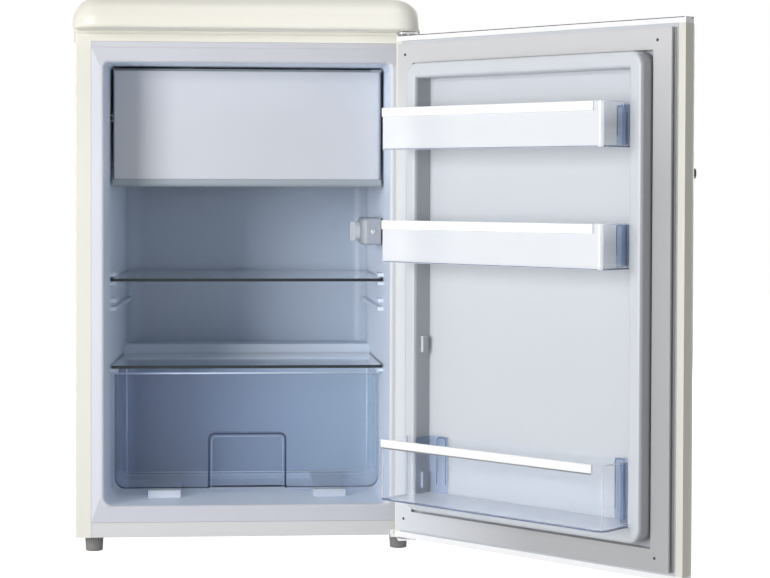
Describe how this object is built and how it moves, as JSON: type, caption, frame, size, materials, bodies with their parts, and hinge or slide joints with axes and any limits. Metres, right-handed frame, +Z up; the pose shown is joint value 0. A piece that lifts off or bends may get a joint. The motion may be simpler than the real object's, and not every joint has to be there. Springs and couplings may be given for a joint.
{
  "type": "refrigerator",
  "caption": "Cream retro refrigerator with a rounded crown, hinged door with clear balconies, inner freezer flap, glass shelf and crisper drawer; keeps food cold.",
  "frame": {"origin": "middle of the cabinet's footprint, at floor level", "axes": "+X to the right seen from the front, front faces -Y, +Z up"},
  "size_m": [0.9309, 0.9375, 0.889],
  "materials": {
    "body_paint": "gloss enamel, cream",
    "crown_plastic": "gloss, cream",
    "liner_plastic": "satin, white",
    "white_trim": "gloss, white",
    "flap_plastic": "satin, pale grey",
    "clear_plastic": "clear, faint blue",
    "shelf_glass": "clear, toughened",
    "seal_rubber": "matt, light grey",
    "foot_plastic": "matt, dark grey",
    "black_plastic": "matt, black",
    "mount_rubber": "matt, black",
    "zinc_sheet": "zinc-coated sheet",
    "hinge_steel": "zinc-plated",
    "screw_steel": "zinc-plated",
    "machine_black": "black enamel",
    "tube_black": "black enamel",
    "copper": "bare copper",
    "evaporator": "white-coated aluminium",
    "handle_chrome": "polished chrome",
    "bush_plastic": "matt, white",
    "foam": "rigid foam"
  },
  "bodies": {
    "cabinet": {"side_panel_left": "body_paint", "side_panel_right": "body_paint", "top_cover": "crown_plastic", "top_rail": "body_paint", "top_panel": "zinc_sheet", "bottom_rail": "white_trim", "back_panel": "zinc_sheet", "base_pan": "zinc_sheet", "cabinet_insulation": "foam", "inner_liner": "liner_plastic", "freezer_box": "evaporator", "freezer_frame": "white_trim", "top_hinge": "hinge_steel", "bottom_hinge": "white_trim", "hinge_screws": "screw_steel", "control_housing": "white_trim", "control_screw": "screw_steel", "thermostat": "black_plastic", "foot_sockets": "hinge_steel", "rear_feet": "foot_plastic", "machine_bay_shroud": "zinc_sheet", "compressor": "machine_black", "compressor_mounts": "mount_rubber", "terminal_box": "black_plastic", "cord_gland": "black_plastic", "evaporation_tray": "black_plastic", "condenser_tube": "tube_black", "condenser_wires": "tube_black", "condenser_brackets": "black_plastic", "filter_drier": "copper", "suction_pipe": "copper", "back_screws": "screw_steel"},
    "door": {"door_skin": "body_paint", "door_insulation": "foam", "door_liner": "liner_plastic", "door_gasket": "seal_rubber", "door_top_cap": "white_trim", "door_bottom_cap": "white_trim", "hinge_bushes": "bush_plastic", "door_handle": "handle_chrome"},
    "balcony_top_tray": {"balcony_top": "clear_plastic", "balcony_trim_top": "white_trim"},
    "balcony_middle_tray": {"balcony_middle": "clear_plastic", "balcony_trim_middle": "white_trim"},
    "balcony_bottom_tray": {"balcony_bottom": "clear_plastic", "balcony_trim_bottom": "white_trim"},
    "shelf": {"glass_shelf": "shelf_glass"},
    "cover_pane": {"crisper_cover": "shelf_glass"},
    "drawer": {"crisper_drawer": "clear_plastic"},
    "flap": {"freezer_flap": "flap_plastic"},
    "knob": {"thermostat_knob": "white_trim"},
    "foot_left": {"front_foot_left": "foot_plastic"},
    "foot_right": {"front_foot_right": "foot_plastic"}
  },
  "joints": [
    {"name": "door_hinge", "type": "hinge", "parent": "cabinet", "child": "door", "pos_m": [0.2577, -0.2649, 0.43], "axis": [0, 0, 1], "range_deg": [-133.66, 3]},
    {"name": "flap_hinge", "type": "hinge", "parent": "cabinet", "child": "flap", "pos_m": [0.21502, -0.136, 0.69], "axis": [0, 0, 1], "range_deg": [0, 85]},
    {"name": "shelf_slide", "type": "slide", "parent": "cabinet", "child": "shelf", "axis": [0, -1, 0], "range_m": [0, 0.3]},
    {"name": "cover_slide", "type": "slide", "parent": "cabinet", "child": "cover_pane", "axis": [0, -1, 0], "range_m": [0, 0.24]},
    {"name": "drawer_slide", "type": "slide", "parent": "cabinet", "child": "drawer", "axis": [0, -1, 0], "range_m": [0, 0.21]},
    {"name": "knob_turn", "type": "hinge", "parent": "cabinet", "child": "knob", "pos_m": [0.18, -0.098, 0.515], "axis": [-1, 0, 0], "range_deg": [0, 270]},
    {"name": "foot_left_turn", "type": "hinge", "parent": "cabinet", "child": "foot_left", "pos_m": [-0.247, -0.209, 0.012], "axis": [0, 0, 1], "continuous": true},
    {"name": "foot_right_turn", "type": "hinge", "parent": "cabinet", "child": "foot_right", "pos_m": [0.247, -0.209, 0.012], "axis": [0, 0, 1], "continuous": true},
    {"name": "balcony_top_lift", "type": "slide", "parent": "door", "child": "balcony_top_tray", "axis": [0, 0, 1], "range_m": [0, 0.025]},
    {"name": "balcony_middle_lift", "type": "slide", "parent": "door", "child": "balcony_middle_tray", "axis": [0, 0, 1], "range_m": [0, 0.025]},
    {"name": "balcony_bottom_lift", "type": "slide", "parent": "door", "child": "balcony_bottom_tray", "axis": [0, 0, 1], "range_m": [0, 0.025]}
  ]
}
